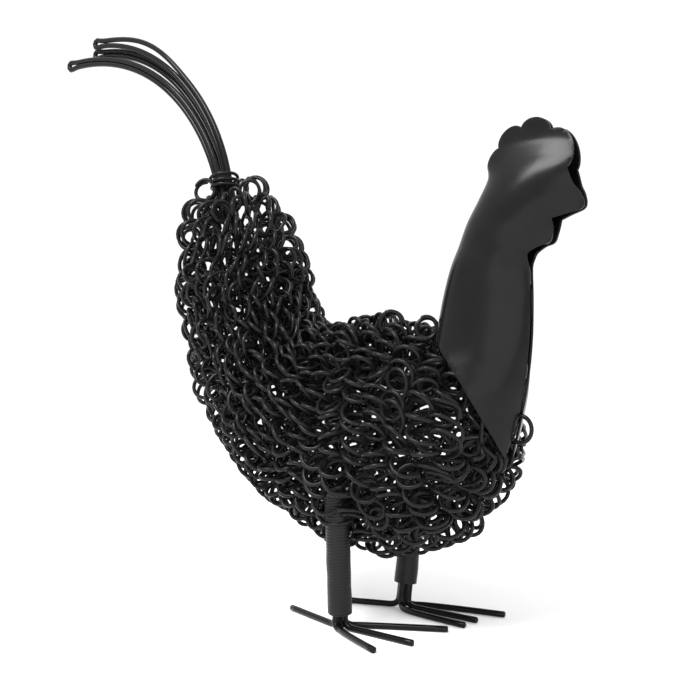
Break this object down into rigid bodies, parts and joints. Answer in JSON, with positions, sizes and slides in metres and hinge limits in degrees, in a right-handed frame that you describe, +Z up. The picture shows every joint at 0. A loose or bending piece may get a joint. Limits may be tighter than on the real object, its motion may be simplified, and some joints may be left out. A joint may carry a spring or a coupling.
{
  "type": "wire rooster sculpture",
  "caption": "Standing rooster made of wound black wire with a folded sheet head, long wire tail feathers and splayed wire feet.",
  "frame": {"origin": "on the ground, under the middle of the bounding box", "axes": "+X from the tail towards the beak, +Y to the bird's left, +Z up"},
  "size_m": [0.3304, 0.0916, 0.3064],
  "materials": {
    "coated_sheet": "satin black coating",
    "coated_wire": "satin black coating"
  },
  "bodies": {
    "root": {"head_and_neck_sheet": "coated_sheet", "body_coil": "coated_wire", "tail_feather_lower": "coated_wire", "tail_feather_upper": "coated_wire", "tail_feather_middle": "coated_wire", "tail_binding": "coated_wire", "right_toe_outer": "coated_wire", "right_toe_middle": "coated_wire", "right_toe_inner": "coated_wire", "right_toe_back": "coated_wire", "right_leg_wrap": "coated_wire", "left_toe_inner": "coated_wire", "left_toe_middle": "coated_wire", "left_toe_outer": "coated_wire", "left_toe_back": "coated_wire", "left_leg_wrap": "coated_wire"}
  },
  "joints": []
}
